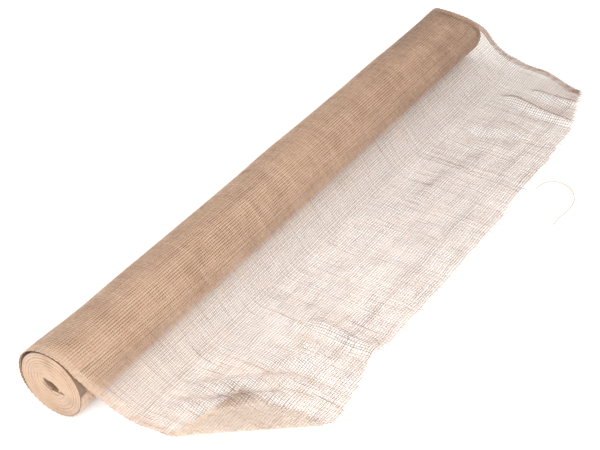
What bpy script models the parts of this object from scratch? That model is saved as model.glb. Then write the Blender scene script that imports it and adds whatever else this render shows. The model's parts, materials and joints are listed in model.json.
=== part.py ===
"""A coreless roll of open jute hessian, with a loose lap drawn off its top and laid on the floor.

The frame is +Z up. The roll lies along X with its axis over y = 0, and the lap runs out along -Y.
Left and right are as seen from the lap: left is -X. The origin is on the floor, under the middle
of the roll. Every node is a stretch of the one length of cloth, or of the threads at its edges.
"""

import math

import bmesh
import bpy
from mathutils import Matrix, Vector

# Driving dimensions, in metres and degrees.
CLOTH_WIDTH = 1.0  # from selvedge to selvedge, which is the length of the roll
ROLL_RADIUS = 0.046
CLOTH_THICKNESS = 0.0012
SELVEDGE_WIDTH = 0.012  # the closer woven band along each side of the cloth
FLAT_WIDTH = 0.012  # the strip that the roll's weight flattens against the floor
PIECE_GAP = 0.0003  # between two pieces that touch
TURN_GAP = 0.0006  # between the outer turn and the turns that it holds
INNER_TURNS_RADIUS = 0.018
MIDDLE_TURNS_RADIUS = 0.031
SLIT_LENGTH = 0.024  # the collapsed middle of the roll, which has no tube
SLIT_WIDTH = 0.005
SLIT_TILT = 22.0  # its long axis rises away from the lap by this much
OUTER_TURN_ANGLE = 338.0  # how far the outer turn goes round the roll
TOUCH_DOWN = 0.105  # from the roll's axis to where the lap comes down on the floor
FLOOR_BEND = 0.029  # the radius that the cloth bends to as it comes down
LAP_REACH = 0.286  # from the roll's axis to the farthest point of the cut end
LEFT_INSET_AT_TOUCH = 0.025  # how far the left selvedge has strayed inward by there
FRINGE = 0.008  # the frayed threads along the cut end

# The corner that is turned back. Insets are from the cloth's left side, reaches from the roll's axis.
FOLD_INSET = 0.041
FOLD_REACH = 0.136
FOLD_END_INSET = 0.163
CORNER_INSET = 0.050  # where the corner lies once it is unfolded
CORNER_REACH = 0.247

# The cut end from the right side to the fold: (share of the cloth's width, short of LAP_REACH by).
CUT_END = (
    (0.000, 0.060),
    (0.105, 0.038),
    (0.232, 0.013),
    (0.384, 0.004),
    (0.549, 0.002),
    (0.698, 0.018),
    (0.782, 0.006),
)

# One thread pulled loose from the cut end, which lies on the floor.
THREAD_DIAMETER = 0.0012
THREAD_POINT_SPACING = 0.0030
THREAD_ROUTE = (
    (0.2180, -0.2806),
    (0.2255, -0.2832),
    (0.2340, -0.2850),
    (0.2425, -0.2885),
    (0.2485, -0.2955),
    (0.2505, -0.3060),
    (0.2480, -0.3180),
    (0.2400, -0.3290),
    (0.2280, -0.3370),
    (0.2140, -0.3415),
    (0.1990, -0.3425),
    (0.1840, -0.3405),
    (0.1700, -0.3385),
    (0.1530, -0.3390),
)

HALF_WIDTH = CLOTH_WIDTH / 2
WEB_END = HALF_WIDTH - SELVEDGE_WIDTH - PIECE_GAP
AXIS_Z = math.sqrt(ROLL_RADIUS**2 - (FLAT_WIDTH / 2) ** 2)
WOUND_RADIUS = ROLL_RADIUS - CLOTH_THICKNESS - TURN_GAP
RING_SIDES = 40
STRAIGHT_STEPS = 5
BEND_STEPS = 7
TUBE_SIDES = 2  # bevel resolution of the loose thread, which gives it eight sides

JUTE = (0.60, 0.42, 0.27, 1.0)
JUTE_SELVEDGE = (0.66, 0.47, 0.31, 1.0)
JUTE_THREAD = (0.55, 0.40, 0.26, 1.0)


def clear_scene():
    for old in list(bpy.data.objects):
        bpy.data.objects.remove(old)


def fabric(name, colour):
    material = bpy.data.materials.new(name)
    material.use_nodes = True
    shader = material.node_tree.nodes["Principled BSDF"]
    shader.inputs["Base Color"].default_value = colour
    shader.inputs["Roughness"].default_value = 0.9
    shader.inputs["Metallic"].default_value = 0.0
    return material


def body_empty(name, place):
    """An empty on the joint's axis, which carries the pieces of one moving body."""
    empty = bpy.data.objects.new(name, None)
    empty.location = place
    bpy.context.scene.collection.objects.link(empty)
    return empty


def add_piece(name, points, faces, material, body):
    """A closed mesh given in the part's frame, hung on its body's empty."""
    mesh = bpy.data.meshes.new(name)
    mesh.from_pydata([tuple(p) for p in points], [], faces)
    mesh.transform(Matrix.Translation(-body.location))
    shape = bmesh.new()
    shape.from_mesh(mesh)
    bmesh.ops.recalc_face_normals(shape, faces=shape.faces)
    shape.to_mesh(mesh)
    shape.free()
    mesh.shade_smooth()
    mesh.set_sharp_from_angle(angle=math.radians(30))
    mesh.materials.append(material)
    piece = bpy.data.objects.new(name, mesh)
    piece.parent = body
    bpy.context.scene.collection.objects.link(piece)
    return piece


def prism(first, second):
    """Points and faces of the solid between two matching closed outlines."""
    count = len(first)
    around = [(i, (i + 1) % count) for i in range(count)]
    faces = [tuple(range(count)), tuple(range(count, 2 * count))]
    faces += [(i, j, count + j, count + i) for i, j in around]
    return list(first) + list(second), faces


def slab(name, outline, bottom, material, body):
    """One layer of cloth lying flat, from its outline seen from above."""
    low = [(x, y, bottom) for x, y in outline]
    high = [(x, y, bottom + CLOTH_THICKNESS) for x, y in outline]
    points, faces = prism(low, high)
    return add_piece(name, points, faces, material, body)


def round_section(radius):
    """A circle round the roll's axis, as (y, z) points."""
    turns = [2 * math.pi * i / RING_SIDES for i in range(RING_SIDES)]
    return [(radius * math.sin(t), AXIS_Z + radius * math.cos(t)) for t in turns]


def slit_section():
    """The collapsed middle as a flat ellipse, point for point with round_section."""
    tilt = math.radians(SLIT_TILT)
    section = []
    for i in range(RING_SIDES):
        turn = 2 * math.pi * i / RING_SIDES + tilt
        along = SLIT_LENGTH / 2 * math.sin(turn)
        across = SLIT_WIDTH / 2 * math.cos(turn)
        y = along * math.cos(tilt) - across * math.sin(tilt)
        z = along * math.sin(tilt) + across * math.cos(tilt)
        section.append((y, AXIS_Z + z))
    return section


def ring(name, outer, inner, left, right, material, body):
    """A tube along X between two matching closed sections."""
    count = len(outer)
    points = [(x, y, z) for x in (left, right) for loop in (outer, inner) for y, z in loop]
    faces = []
    for i in range(count):
        j = (i + 1) % count
        loops = [0, count, 3 * count, 2 * count]
        for a, b in zip(loops, loops[1:] + loops[:1]):
            faces.append((a + i, a + j, b + j, b + i))
    return add_piece(name, points, faces, material, body)


def drape_span(angle):
    """How long the drape's straight part is, and how far out it comes down, for a leave angle."""
    fall = AXIS_Z + ROLL_RADIUS * math.cos(angle) - CLOTH_THICKNESS
    straight = (fall - FLOOR_BEND * (1 - math.cos(angle))) / math.sin(angle)
    return straight, (ROLL_RADIUS + FLOOR_BEND) * math.sin(angle) + straight * math.cos(angle)


def leave_angle():
    """Where the drape leaves the roll, from its top towards the lap, so that it ends at TOUCH_DOWN."""
    low, high = math.radians(15), math.radians(89)
    for _ in range(50):
        angle = (low + high) / 2
        if drape_span(angle)[1] > TOUCH_DOWN:
            low = angle
        else:
            high = angle
    return angle


def outer_turn_section():
    """The outer turn as a closed (y, z) outline, flattened where it stands on the floor."""
    flat = math.asin(FLAT_WIDTH / 2 / ROLL_RADIUS)
    start = -leave_angle()
    end = start + math.radians(OUTER_TURN_ANGLE)
    first = [start + (math.pi - flat - start) * i / 22 for i in range(23)]
    second = [math.pi + flat + (end - math.pi - flat) * i / 12 for i in range(13)]
    outside = []
    inside = []
    for turn in first + second:
        y, z = math.sin(turn), math.cos(turn)
        outside.append((ROLL_RADIUS * y, max(0.0, AXIS_Z + ROLL_RADIUS * z)))
        bore = ROLL_RADIUS - CLOTH_THICKNESS
        inside.append((bore * y, AXIS_Z + bore * z))
    return outside + inside[::-1]


def extruded(name, section, left, right, material, body):
    points, faces = prism(
        [(left, y, z) for y, z in section], [(right, y, z) for y, z in section]
    )
    return add_piece(name, points, faces, material, body)


def drape_profile():
    """The drape's upper face from the leave line to the floor: (share of its length, place, slope).

    It falls straight along the roll's tangent, then bends round to lie flat on the floor.
    Place and slope are in (y, z).
    """
    angle = leave_angle()
    along = Vector((-math.cos(angle), -math.sin(angle)))
    leave = Vector((-ROLL_RADIUS * math.sin(angle), AXIS_Z + ROLL_RADIUS * math.cos(angle)))
    straight = drape_span(angle)[0]
    whole = straight + FLOOR_BEND * angle
    profile = []
    for i in range(STRAIGHT_STEPS):
        down = PIECE_GAP + (straight - PIECE_GAP) * i / STRAIGHT_STEPS
        profile.append((down / whole, leave + down * along, along))
    for i in range(BEND_STEPS + 1):
        left = angle * (1 - i / BEND_STEPS)
        place = Vector(
            (
                -TOUCH_DOWN + FLOOR_BEND * math.sin(left),
                CLOTH_THICKNESS + FLOOR_BEND * (1 - math.cos(left)),
            )
        )
        slope = Vector((-math.cos(left), -math.sin(left)))
        profile.append((1 - FLOOR_BEND * left / whole, place, slope))
    return profile


def drape_strip(name, left_inset, right_inset, material, body):
    """A lengthwise strip of the drape. left_inset and right_inset give its edges at a share t."""
    top = []
    bottom = []
    for t, place, slope in drape_profile():
        under = place + CLOTH_THICKNESS * Vector((-slope.y, slope.x))
        for layer, (y, z) in ((top, place), (bottom, under)):
            layer.append([(left_inset(t), y, z), (right_inset(t), y, z)])
    points, faces = [], []
    rows = len(top)
    for layer in (top, bottom):
        for row in layer:
            points += row
    for i in range(rows - 1):
        a, b = 2 * i, 2 * (rows + i)
        faces.append((a, a + 1, a + 3, a + 2))
        faces.append((b, b + 1, b + 3, b + 2))
        faces.append((a, a + 2, b + 2, b))
        faces.append((a + 1, a + 3, b + 3, b + 1))
    last = 2 * (rows - 1)
    faces.append((0, 1, 2 * rows + 1, 2 * rows))
    faces.append((last, last + 1, 2 * rows + last + 1, 2 * rows + last))
    return add_piece(name, points, faces, material, body)


def line(a, b):
    """A straight line in plan, as a point and a unit direction."""
    a, b = Vector(a), Vector(b)
    return a, (b - a).normalized()


def shifted(edge, distance):
    """The same line moved sideways, to the left of its direction."""
    place, along = edge
    return place + distance * Vector((-along.y, along.x)), along


def meeting(first, second):
    """Where two lines in plan cross."""
    (a, u), (b, v) = first, second
    share = ((b - a).x * v.y - (b - a).y * v.x) / (u.x * v.y - u.y * v.x)
    return a + share * u


def cut_end_outline(back=0.0):
    """The cut end from right to left, moved back towards the roll by a distance."""
    return [
        Vector((HALF_WIDTH - share * CLOTH_WIDTH, -LAP_REACH + short + back))
        for share, short in CUT_END
    ]


def cut_end_at(x, back=0.0):
    """The point of the cut end at a given x, by straight stretches between its points."""
    outline = cut_end_outline(back)
    for a, b in zip(outline, outline[1:]):
        if b.x <= x <= a.x:
            return a + (b - a) * (a.x - x) / (a.x - b.x)
    return outline[0]


def thread_path():
    """Evenly spaced points on a smooth curve through the thread's route."""
    knots = [Vector((x, y, THREAD_DIAMETER / 2)) for x, y in THREAD_ROUTE]
    knots = [2 * knots[0] - knots[1]] + knots + [2 * knots[-1] - knots[-2]]
    fine = []
    for a, b, c, d in zip(knots, knots[1:], knots[2:], knots[3:]):
        for i in range(20):
            t = i / 20
            fine.append(
                b
                + (c - a) * t / 2
                + (2 * a - 5 * b + 4 * c - d) * t**2 / 2
                + (3 * b - a - 3 * c + d) * t**3 / 2
            )
    fine.append(knots[-2])
    path = [fine[0]]
    for point in fine[1:-1]:
        if (point - path[-1]).length >= THREAD_POINT_SPACING:
            path.append(point)
    if (fine[-1] - path[-1]).length < THREAD_POINT_SPACING / 2:
        path.pop()
    return path + [fine[-1]]


def add_thread(name, material, body):
    curve = bpy.data.curves.new(name, "CURVE")
    curve.dimensions = "3D"
    curve.bevel_depth = THREAD_DIAMETER / 2
    curve.bevel_resolution = TUBE_SIDES
    curve.use_fill_caps = True
    spline = curve.splines.new("POLY")
    path = thread_path()
    spline.points.add(len(path) - 1)
    for point, place in zip(spline.points, path):
        point.co = (*(place - body.location), 1.0)
    curve.materials.append(material)
    thread = bpy.data.objects.new(name, curve)
    thread.parent = body
    bpy.context.scene.collection.objects.link(thread)
    return thread


def build_wound_roll(body, web, selvedge):
    """All the turns inside the outer one: three layers, and the selvedges at both ends."""
    slit = slit_section()
    layers = (
        ("wound_turns_inner", INNER_TURNS_RADIUS, slit),
        ("wound_turns_middle", MIDDLE_TURNS_RADIUS, round_section(INNER_TURNS_RADIUS + PIECE_GAP)),
        ("wound_turns_outer", WOUND_RADIUS, round_section(MIDDLE_TURNS_RADIUS + PIECE_GAP)),
    )
    for name, radius, inner in layers:
        ring(name, round_section(radius), inner, -WEB_END, WEB_END, web, body)
    full = round_section(WOUND_RADIUS)
    inset = HALF_WIDTH - SELVEDGE_WIDTH
    ring("wound_left_selvedges", full, slit, -HALF_WIDTH, -inset, selvedge, body)
    ring("wound_right_selvedges", full, slit, inset, HALF_WIDTH, selvedge, body)


def build_outer_turn(body, web, selvedge):
    section = outer_turn_section()
    inset = HALF_WIDTH - SELVEDGE_WIDTH
    extruded("outer_turn", section, -WEB_END, WEB_END, web, body)
    extruded("outer_turn_left_selvedge", section, -HALF_WIDTH, -inset, selvedge, body)
    extruded("outer_turn_right_selvedge", section, inset, HALF_WIDTH, selvedge, body)


def left_side(t):
    """The x of the drape's left selvedge at share t of the way to the floor."""
    return -HALF_WIDTH + LEFT_INSET_AT_TOUCH * t**2


def build_drape(body, web, selvedge):
    inner = SELVEDGE_WIDTH + PIECE_GAP
    drape_strip("drape", lambda t: left_side(t) + inner, lambda t: WEB_END, web, body)
    drape_strip(
        "drape_left_selvedge", left_side, lambda t: left_side(t) + SELVEDGE_WIDTH, selvedge, body
    )
    drape_strip(
        "drape_right_selvedge",
        lambda t: HALF_WIDTH - SELVEDGE_WIDTH,
        lambda t: HALF_WIDTH,
        selvedge,
        body,
    )


START_Y = -TOUCH_DOWN - PIECE_GAP
START_LEFT = Vector((-HALF_WIDTH + LEFT_INSET_AT_TOUCH, START_Y))
FOLD_START = Vector((-HALF_WIDTH + FOLD_INSET, -FOLD_REACH))
FOLD_END = Vector((-HALF_WIDTH + FOLD_END_INSET, -LAP_REACH))
CORNER = Vector((-HALF_WIDTH + CORNER_INSET, -CORNER_REACH))
FOLD_LINE = line(FOLD_START, FOLD_END)  # the cloth is to the left of it
FOLD_HEIGHT = CLOTH_THICKNESS + PIECE_GAP / 2


def build_lap(body, web, selvedge, thread):
    fold = shifted(FOLD_LINE, PIECE_GAP)
    top = line(START_LEFT, START_LEFT + Vector((1.0, 0.0)))
    side = line(START_LEFT, FOLD_START)
    side_inner = shifted(side, SELVEDGE_WIDTH)
    web_side = shifted(side, SELVEDGE_WIDTH + PIECE_GAP)
    back = FRINGE + PIECE_GAP
    selvedge_x = HALF_WIDTH - SELVEDGE_WIDTH

    end = [p for p in cut_end_outline(back) if p.x < WEB_END]
    fringe_back = line(FOLD_END + Vector((0.0, back)), end[-1])
    web_outline = [
        meeting(top, web_side),
        Vector((WEB_END, START_Y)),
        cut_end_at(WEB_END, back),
        *end,
        meeting(fold, fringe_back),
        meeting(fold, web_side),
    ]
    slab("lap", web_outline, 0.0, web, body)

    left_outline = [
        meeting(top, side),
        meeting(top, side_inner),
        meeting(fold, side_inner),
        meeting(fold, side),
    ]
    slab("lap_left_selvedge", left_outline, 0.0, selvedge, body)

    right_outline = [
        Vector((selvedge_x, START_Y)),
        Vector((HALF_WIDTH, START_Y)),
        cut_end_at(HALF_WIDTH, back),
        cut_end_at(selvedge_x, back),
    ]
    slab("lap_right_selvedge", right_outline, 0.0, selvedge, body)

    outer = cut_end_outline()
    inner = cut_end_outline(FRINGE)
    fringe_outline = [
        *outer,
        meeting(fold, line(FOLD_END, outer[-1])),
        meeting(fold, line(FOLD_END + Vector((0.0, FRINGE)), inner[-1])),
        *inner[::-1],
    ]
    slab("cut_end_fringe", fringe_outline, 0.0, thread, body)
    add_thread("loose_thread", thread, body)


def folded(outline):
    """The corner's outline after it is turned over the fold line."""
    place, along = FOLD_LINE
    turned = []
    for point in outline:
        offset = point - place
        turned.append(place + 2 * offset.dot(along) * along - offset)
    return turned


def build_corner(body, web, selvedge, thread):
    fold = shifted(FOLD_LINE, -PIECE_GAP)
    side = line(FOLD_START, CORNER)
    end = line(CORNER, FOLD_END)
    side_inner = shifted(side, SELVEDGE_WIDTH)
    side_web = shifted(side, SELVEDGE_WIDTH + PIECE_GAP)
    end_inner = shifted(end, FRINGE)
    end_web = shifted(end, FRINGE + PIECE_GAP)
    outlines = (
        (
            "turned_corner",
            [meeting(fold, side_web), meeting(side_web, end_web), meeting(end_web, fold)],
            web,
        ),
        (
            "turned_corner_selvedge",
            [
                meeting(fold, side),
                meeting(side, end_web),
                meeting(side_inner, end_web),
                meeting(side_inner, fold),
            ],
            selvedge,
        ),
        (
            "turned_corner_fringe",
            [
                meeting(side, end),
                meeting(end, fold),
                meeting(end_inner, fold),
                meeting(end_inner, side),
            ],
            thread,
        ),
    )
    for name, outline, material in outlines:
        slab(name, folded(outline), CLOTH_THICKNESS + PIECE_GAP, material, body)


def build():
    clear_scene()
    web = fabric("jute_web", JUTE)
    selvedge = fabric("jute_selvedge", JUTE_SELVEDGE)
    thread = fabric("jute_thread", JUTE_THREAD)
    leave = drape_profile()[0][1]
    axis = (0.0, 0.0, AXIS_Z)
    build_outer_turn(body_empty("wrap_body", axis), web, selvedge)
    build_wound_roll(body_empty("wound_body", axis), web, selvedge)
    build_drape(body_empty("drape_body", (0.0, leave.x, leave.y)), web, selvedge)
    build_lap(body_empty("lap_body", (0.0, START_Y, 0.0)), web, selvedge, thread)
    fold_place = (FOLD_START.x, FOLD_START.y, FOLD_HEIGHT)
    build_corner(body_empty("corner_body", fold_place), web, selvedge, thread)


build()
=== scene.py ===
"""A coreless roll of open jute hessian with a loose lap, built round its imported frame.

Metres, +Z up. The roll lies along X over y = 0 and the lap runs out along -Y. Left is -X.
Places on the cloth are given by u, across it from its middle, and v, down its length from the
line where the lap hinges off the roll.
"""

import json
import math

import bpy
import numpy as np
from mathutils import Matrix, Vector


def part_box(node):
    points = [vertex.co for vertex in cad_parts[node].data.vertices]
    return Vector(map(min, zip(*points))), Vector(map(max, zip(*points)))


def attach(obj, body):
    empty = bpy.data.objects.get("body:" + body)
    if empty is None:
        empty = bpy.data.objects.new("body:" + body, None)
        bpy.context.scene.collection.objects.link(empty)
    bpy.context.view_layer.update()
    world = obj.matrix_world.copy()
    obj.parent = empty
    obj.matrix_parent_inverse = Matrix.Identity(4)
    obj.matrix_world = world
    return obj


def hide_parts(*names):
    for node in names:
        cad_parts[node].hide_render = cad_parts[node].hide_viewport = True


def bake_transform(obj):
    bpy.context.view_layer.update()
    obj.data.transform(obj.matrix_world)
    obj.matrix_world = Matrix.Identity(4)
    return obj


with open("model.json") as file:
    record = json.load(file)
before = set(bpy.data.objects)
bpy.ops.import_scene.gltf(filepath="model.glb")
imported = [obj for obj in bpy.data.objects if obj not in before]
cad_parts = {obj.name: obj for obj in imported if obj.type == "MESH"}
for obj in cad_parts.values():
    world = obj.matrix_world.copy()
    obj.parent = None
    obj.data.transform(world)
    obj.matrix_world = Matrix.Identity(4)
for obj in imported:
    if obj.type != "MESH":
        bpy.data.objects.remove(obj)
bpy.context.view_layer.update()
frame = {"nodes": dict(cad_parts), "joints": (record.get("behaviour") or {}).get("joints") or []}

# --- Floor, light and camera ---
# A white paper sweep under soft studio light, seen from in front of the roll's left end. The
# lamps stand to the left, so the right end of the roll is the darker one.
FLOOR_HALF = 6.0
FLOOR_Z = -0.0004
CAMERA_AZIMUTH = math.radians(-56.9)
CAMERA_ELEVATION = math.radians(37.6)
CAMERA_DISTANCE = 1.88
CAMERA_AIM = Vector((-0.0280, -0.0364, -0.0103))
CAMERA_LENS = 80.4
KEY_PLACE = Vector((-1.7, -1.1, 1.5))
KEY_AIM = Vector((-0.1, -0.1, 0.0))
KEY_SIZE = 1.6
KEY_WATTS = 54.0
FILL_PLACE = Vector((-0.1, -2.0, 0.5))
FILL_AIM = Vector((0.0, -0.1, 0.0))
FILL_SIZE = 1.2
FILL_WATTS = 11.0
SKY_STRENGTH = 1.03
TOOTH_SCALE = 400.0  # the paper's tooth, in bumps to the metre


def linear(colour):
    """An sRGB hex colour as linear RGBA.

    Each channel c becomes ((c + 0.055) / 1.055) ** 2.4, or c / 12.92 when it is dark.
    """
    channels = [int(colour[i : i + 2], 16) / 255 for i in (1, 3, 5)]
    return (*(c / 12.92 if c <= 0.04045 else ((c + 0.055) / 1.055) ** 2.4 for c in channels), 1.0)


def add_node(tree, kind, inputs=None, **settings):
    """Adds a node, sets its properties, and gives each input a value or a link."""
    made = tree.nodes.new(kind)
    for name, value in settings.items():
        setattr(made, name, value)
    for name, value in (inputs or {}).items():
        if isinstance(value, bpy.types.NodeSocket):
            tree.links.new(value, made.inputs[name])
        else:
            made.inputs[name].default_value = value
    return made


def new_material(name):
    """An empty node material with its output node. Returns the material, its tree and the output."""
    material = bpy.data.materials.new(name)
    material.use_nodes = True
    tree = material.node_tree
    tree.nodes.clear()
    return material, tree, tree.nodes.new("ShaderNodeOutputMaterial")


def link_object(name, data):
    """A new object of this data, linked to the scene."""
    made = bpy.data.objects.new(name, data)
    bpy.context.scene.collection.objects.link(made)
    return made


def softbox(name, place, aim, size, watts):
    """A square area lamp at place, turned to shine at aim."""
    data = bpy.data.lights.new(name, "AREA")
    data.size = size
    data.energy = watts
    lamp = link_object(name, data)
    lamp.location = place
    lamp.rotation_mode = "QUATERNION"
    lamp.rotation_quaternion = (aim - place).to_track_quat("-Z", "Y")


# Matt white background paper: no gloss, and a faint tooth.
paper, tree, output = new_material("white_background_paper")
tooth = add_node(tree, "ShaderNodeTexNoise", {"Scale": TOOTH_SCALE, "Detail": 2.0})
tint = add_node(
    tree,
    "ShaderNodeMix",
    {"Factor": tooth.outputs["Fac"], 6: linear("#FBFBFB"), 7: linear("#FFFFFF")},
    data_type="RGBA",
)
shader = add_node(
    tree,
    "ShaderNodeBsdfPrincipled",
    {"Base Color": tint.outputs[2], "Roughness": 0.95, "Specular IOR Level": 0.1},
)
tree.links.new(shader.outputs[0], output.inputs[0])

floor_mesh = bpy.data.meshes.new("floor")
floor_signs = ((-1, -1), (1, -1), (1, 1), (-1, 1))
floor_corners = [(i * FLOOR_HALF, j * FLOOR_HALF, FLOOR_Z) for i, j in floor_signs]
floor_mesh.from_pydata(floor_corners, [], [(0, 1, 2, 3)])
floor_mesh.materials.append(paper)
floor = link_object("floor", floor_mesh)

softbox("key_softbox", KEY_PLACE, KEY_AIM, KEY_SIZE, KEY_WATTS)
softbox("fill_softbox", FILL_PLACE, FILL_AIM, FILL_SIZE, FILL_WATTS)

world = bpy.data.worlds.new("studio")
world.use_nodes = True
sky = world.node_tree.nodes["Background"]
sky.inputs["Color"].default_value = linear("#FFFDFB")
sky.inputs["Strength"].default_value = SKY_STRENGTH
bpy.context.scene.world = world
bpy.context.scene.view_settings.view_transform = "Standard"

camera_data = bpy.data.cameras.new("camera")
camera_data.lens = CAMERA_LENS
camera = link_object("camera", camera_data)
back = Vector(
    (
        math.sin(CAMERA_AZIMUTH) * math.cos(CAMERA_ELEVATION),
        -math.cos(CAMERA_AZIMUTH) * math.cos(CAMERA_ELEVATION),
        math.sin(CAMERA_ELEVATION),
    )
)
camera.location = CAMERA_AIM + CAMERA_DISTANCE * back
camera.rotation_mode = "QUATERNION"
camera.rotation_quaternion = (-back).to_track_quat("-Z", "Y")
bpy.context.scene.camera = camera

# --- The loose thread ---
# One yarn of undyed jute that has worked out of the cut end and lies on the floor in a hook. It
# has lost its twist there, so it is paler than the yarns that are still woven in.
THREAD_DIAMETER = 0.0012
THREAD_ROUTE = (
    (0.2180, -0.2806),
    (0.2255, -0.2832),
    (0.2340, -0.2850),
    (0.2425, -0.2885),
    (0.2485, -0.2955),
    (0.2505, -0.3060),
    (0.2480, -0.3180),
    (0.2400, -0.3290),
    (0.2280, -0.3370),
    (0.2140, -0.3415),
    (0.1990, -0.3425),
    (0.1840, -0.3405),
    (0.1700, -0.3385),
    (0.1530, -0.3390),
)
STEPS_PER_KNOT = 8
STRAND_DARK = "#B09A85"
STRAND_MIDDLE = "#D3C3B2"
STRAND_LIGHT = "#E6DACC"
YARN_ROUGHNESS = 0.88  # spun bast fibre scatters light widely
YARN_SHEEN = 0.25  # the fine hairs that stand off the yarn
FIBRE_SCALE = 1 / 0.0009  # fibre bundles 0.9 mm apart
BLOTCH_SCALE = 1 / 0.03  # the yarn's colour drifts over 30 mm


def yarn_material(name, dark, middle, light):
    """Undyed jute yarn: the piece's tone attribute picks its shade, and fibres streak it."""
    material, tree, output = new_material(name)
    tone = add_node(tree, "ShaderNodeAttribute", attribute_name="tone")
    place = add_node(tree, "ShaderNodeTexCoord")
    fibre = add_node(
        tree,
        "ShaderNodeTexNoise",
        {"Vector": place.outputs["Object"], "Scale": FIBRE_SCALE, "Detail": 3.0, "Roughness": 0.6},
    )
    blotch = add_node(
        tree,
        "ShaderNodeTexNoise",
        {"Vector": place.outputs["Object"], "Scale": BLOTCH_SCALE, "Detail": 2.0},
    )
    streak = add_node(
        tree, "ShaderNodeMath", {0: fibre.outputs["Fac"], 1: 0.7, 2: -0.35}, operation="MULTIPLY_ADD"
    )
    drift = add_node(
        tree, "ShaderNodeMath", {0: blotch.outputs["Fac"], 1: 0.5, 2: -0.25}, operation="MULTIPLY_ADD"
    )
    shade = add_node(tree, "ShaderNodeMath", {0: tone.outputs["Fac"], 1: streak.outputs[0]})
    shade = add_node(tree, "ShaderNodeMath", {0: shade.outputs[0], 1: drift.outputs[0]})
    ramp = add_node(tree, "ShaderNodeValToRGB", {"Fac": shade.outputs[0]})
    stops = ramp.color_ramp.elements
    stops[0].position, stops[0].color = 0.05, linear(dark)
    stops[1].position, stops[1].color = 0.95, linear(light)
    stops.new(0.45).color = linear(middle)
    bump = add_node(
        tree,
        "ShaderNodeBump",
        {"Height": fibre.outputs["Fac"], "Strength": 0.35, "Distance": 0.0002},
    )
    shader = add_node(
        tree,
        "ShaderNodeBsdfPrincipled",
        {
            "Base Color": ramp.outputs["Color"],
            "Normal": bump.outputs["Normal"],
            "Roughness": YARN_ROUGHNESS,
            "Sheen Weight": YARN_SHEEN,
            "Sheen Roughness": 0.6,
            "Specular IOR Level": 0.25,
        },
    )
    tree.links.new(shader.outputs[0], output.inputs[0])
    return material


def smooth_path(knots, steps):
    """Points on a Catmull-Rom curve through the knots.

    Each stretch b to c is the cubic that passes both with slopes (c - a) / 2 and (d - b) / 2,
    where a is the knot before b and d the one after c.
    """
    knots = np.asarray(knots, float)
    ends = np.concatenate([[2 * knots[0] - knots[1]], knots, [2 * knots[-1] - knots[-2]]])
    a, b, c, d = ends[:-3, None], ends[1:-2, None], ends[2:-1, None], ends[3:, None]
    t = (np.arange(steps) / steps)[None, :, None]
    curve = (
        b
        + (c - a) * t / 2
        + (2 * a - 5 * b + 4 * c - d) * t**2 / 2
        + (3 * b - a - 3 * c + d) * t**3 / 2
    )
    return np.concatenate([curve.reshape(-1, knots.shape[1]), knots[-1:]])


thread_points = smooth_path(
    [(x, y, THREAD_DIAMETER / 2) for x, y in THREAD_ROUTE], STEPS_PER_KNOT
)
thread_curve = bpy.data.curves.new("loose_yarn", "CURVE")
thread_curve.dimensions = "3D"
thread_curve.bevel_depth = THREAD_DIAMETER / 2
thread_curve.bevel_resolution = 3
thread_curve.use_fill_caps = True
spline = thread_curve.splines.new("POLY")
spline.points.add(len(thread_points) - 1)
spline.points.foreach_set(
    "co", np.column_stack([thread_points, np.ones(len(thread_points))]).ravel()
)
thread_curve.materials.append(
    yarn_material("loose_strand_of_jute", STRAND_DARK, STRAND_MIDDLE, STRAND_LIGHT)
)
loose_yarn = link_object("loose_yarn", thread_curve)
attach(loose_yarn, "lap")
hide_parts("loose_thread")

# --- The shape of the cloth ---
# One length of plain-woven jute yarn, wound on itself. The last turn goes over the roll, falls off
# its front and lies on the floor. Its yarns cross on a grid that is worked out here for all of it.
half_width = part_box("outer_turn_right_selvedge")[1].x
roll_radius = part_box("outer_turn")[1].y
axis_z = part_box("outer_turn")[1].z - roll_radius
lift = next(j for j in frame["joints"] if j["name"] == "lap_lift")
hinge = np.array(lift["pos_m"])
hinge_angle = math.atan2(-hinge[1], hinge[2] - axis_z)  # from the roll's top, towards the lap
fold_joint = next(j for j in frame["joints"] if j["name"] == "corner_unfold")
fold_start = np.array(fold_joint["pos_m"])[:2]
fold_along = np.array(fold_joint["axis"])[:2]
fold_out = np.array([fold_along[1], -fold_along[0]])

WEFT_PITCH = 0.0035  # between the yarns that run along the roll
WARP_PITCH = 0.0029  # between those that run round it
SELVEDGE_WIDTH = 0.012
SELVEDGE_YARNS = 9
LOOP = 0.0009  # the weft yarns turn round this far outside the last warp yarn
YARN_HALF_WIDTH = 0.00036
YARN_HALF_HEIGHT = 0.00028
WEAVE_RISE = 0.00030  # how far each yarn rides over and under the cloth's middle
TURN_START = -0.262  # v where the outer turn begins, at the roll's front behind the drape
LONGEST_V = 0.335  # past the lap's furthest point
FOOT_LEFT, FOOT_MIDDLE, FOOT_RIGHT = 0.098, 0.105, 0.138  # from the axis to the floor
BEND_LEFT, BEND_MIDDLE, BEND_RIGHT = 0.020, 0.029, 0.060  # the radius that it comes down at
FOLD_RADIUS = 0.0011
FOLD_GAP = 0.0010  # the turned corner lies this far over the lap
# The roll's right end leans: its top is LEAN short of its front. Its last turn flares there.
LEAN, LEAN_START = 0.034, 0.22
FLARE, FLARE_START, FLARE_LENGTH = 0.0010, 0.450, 0.028
GAP_FRONT, GAP_BACK = 0.0012, 0.0040  # the last turn stands off at the left end by these
GAP_REACH = 0.12  # and lies close this far in from that end
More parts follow.
